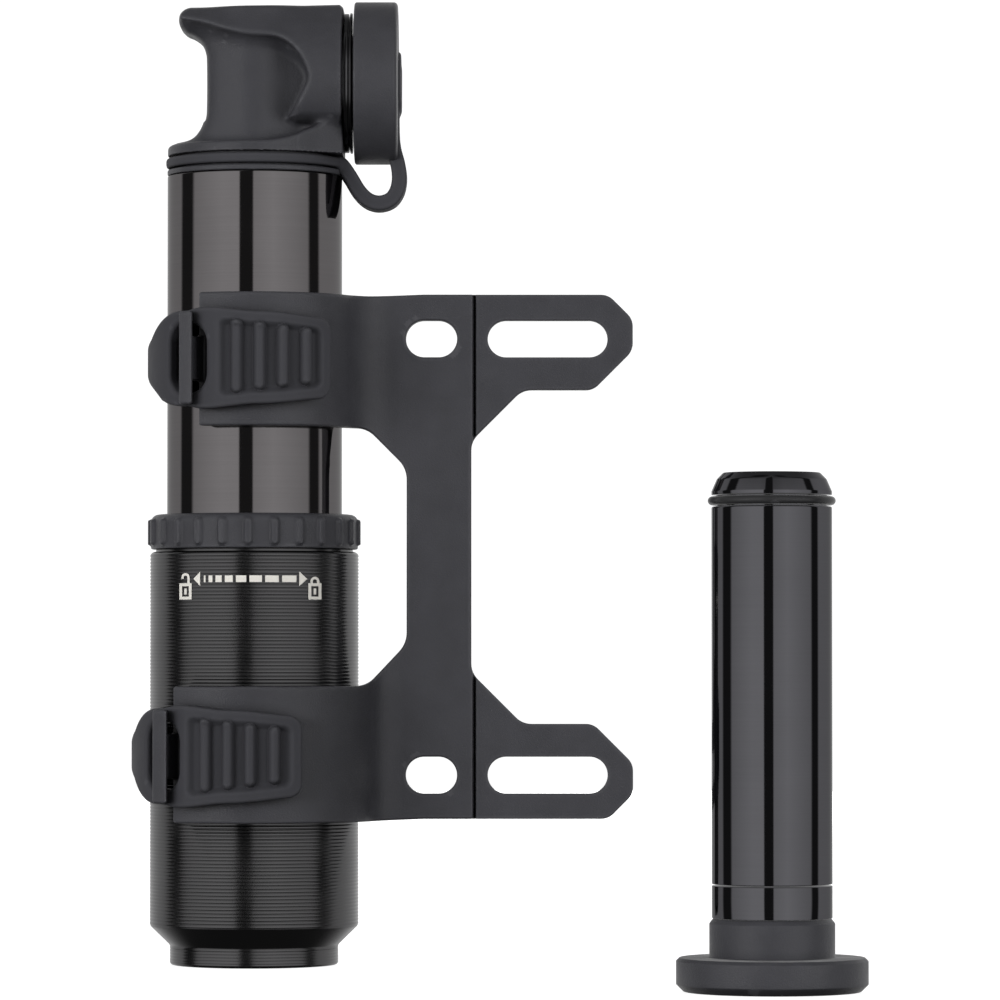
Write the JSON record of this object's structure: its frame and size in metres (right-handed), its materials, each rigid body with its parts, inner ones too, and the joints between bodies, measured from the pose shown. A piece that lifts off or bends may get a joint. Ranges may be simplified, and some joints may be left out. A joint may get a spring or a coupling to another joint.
{
  "type": "mini pump",
  "caption": "Hand air pump for bicycle tyres with a pull-out handle, a two-strap frame bracket and a storage capsule.",
  "frame": {"origin": "middle of the bracket's back face, on the spine, midway between the two bosses that are 64 mm apart", "axes": "+Z along the pump from its handle to its head, +X from the pump towards the ends of the bracket's arms, +Y out of the bracket's back face"},
  "size_m": [0.104, 0.099, 0.1415],
  "materials": {
    "anodised_black": "polished black anodising with a clear gloss",
    "ribbed_black": "black anodising over fine turned ribs",
    "composite": "matte moulded composite, fine grain",
    "rubber": "matte rubber",
    "seal": "lightly greased rubber",
    "bright_alloy": "clear anodised",
    "steel": "stainless"
  },
  "bodies": {
    "frame": {"bracket_frame": "composite", "barrel_tube": "anodised_black", "barrel_guide": "composite", "guide_seal": "seal", "pump_head": "composite", "head_o_ring": "seal", "valve_seat": "steel", "check_valve_spring": "steel", "valve_nozzle": "composite", "chuck_gasket": "rubber", "chuck_plunger": "composite", "tether_ring": "rubber", "strap_upper_band": "rubber", "strap_upper_pin": "steel", "strap_lower_band": "rubber", "strap_lower_pin": "steel"},
    "handle": {"handle_sleeve": "ribbed_black", "shaft_end_ring": "ribbed_black", "hollow_shaft": "bright_alloy", "bumper_ring": "rubber", "piston": "composite", "piston_o_ring": "seal", "piston_bolt": "steel"},
    "lock_collar": {"lock_collar": "composite"},
    "lock_wedge": {"lock_wedge": "composite"},
    "check_valve": {"check_valve_disc": "seal"},
    "chuck_ring": {"chuck_ring": "anodised_black"},
    "dust_cap": {"dust_cap": "composite", "cap_strap": "rubber"},
    "strap_upper_tab": {"strap_upper_tab": "rubber"},
    "strap_lower_tab": {"strap_lower_tab": "rubber"},
    "capsule": {"capsule_plug": "composite", "capsule_base": "anodised_black"},
    "capsule_tube": {"capsule_tube": "anodised_black", "capsule_o_ring": "seal"}
  },
  "joints": [
    {"name": "handle_stroke", "type": "slide", "parent": "frame", "child": "handle", "axis": [0, 0, -1], "range_m": [0, 0.0925]},
    {"name": "lock_collar_twist", "type": "hinge", "parent": "handle", "child": "lock_collar", "pos_m": [-0.027, 0, 0.0035], "axis": [0, 0, 1], "range_deg": [0, 80]},
    {"name": "lock_wedge_rise", "type": "slide", "parent": "handle", "child": "lock_wedge", "axis": [0, 0, 1], "range_m": [0, 0.0008]},
    {"name": "check_valve_lift", "type": "slide", "parent": "frame", "child": "check_valve", "axis": [0, 0, 1], "range_m": [0, 0.0008], "stiffness_N_per_m": 200, "deforming": ["check_valve_spring"]},
    {"name": "chuck_ring_turn", "type": "hinge", "parent": "frame", "child": "chuck_ring", "pos_m": [-0.0131, 0, 0.0698], "axis": [1, 0, 0], "range_deg": [0, 270]},
    {"name": "dust_cap_swing", "type": "hinge", "parent": "frame", "child": "dust_cap", "pos_m": [-0.0075, 0, 0.0532], "axis": [0, 1, 0], "range_deg": [0, 110], "deforming": ["cap_strap"]},
    {"name": "strap_upper_open", "type": "hinge", "parent": "frame", "child": "strap_upper_tab", "pos_m": [-0.04145, 0, 0.0285], "axis": [0, 0, -1], "range_deg": [0, 100], "deforming": ["strap_upper_tab"]},
    {"name": "strap_lower_open", "type": "hinge", "parent": "frame", "child": "strap_lower_tab", "pos_m": [-0.04395, 0, -0.029], "axis": [0, 0, -1], "range_deg": [0, 100], "deforming": ["strap_lower_tab"]},
    {"name": "capsule_carry", "type": "slide", "parent": "frame", "child": "capsule", "axis": [-0.5228, 0.488, -0.699], "range_m": [0, 0.13935]},
    {"name": "capsule_unscrew", "type": "slide", "parent": "capsule", "child": "capsule_tube", "axis": [0, 0, 1], "range_m": [0, 0.012]}
  ],
  "couplings": [
    {"joint": "lock_wedge_rise", "follows": "lock_collar_twist", "m_per_rad": 0.00057}
  ]
}
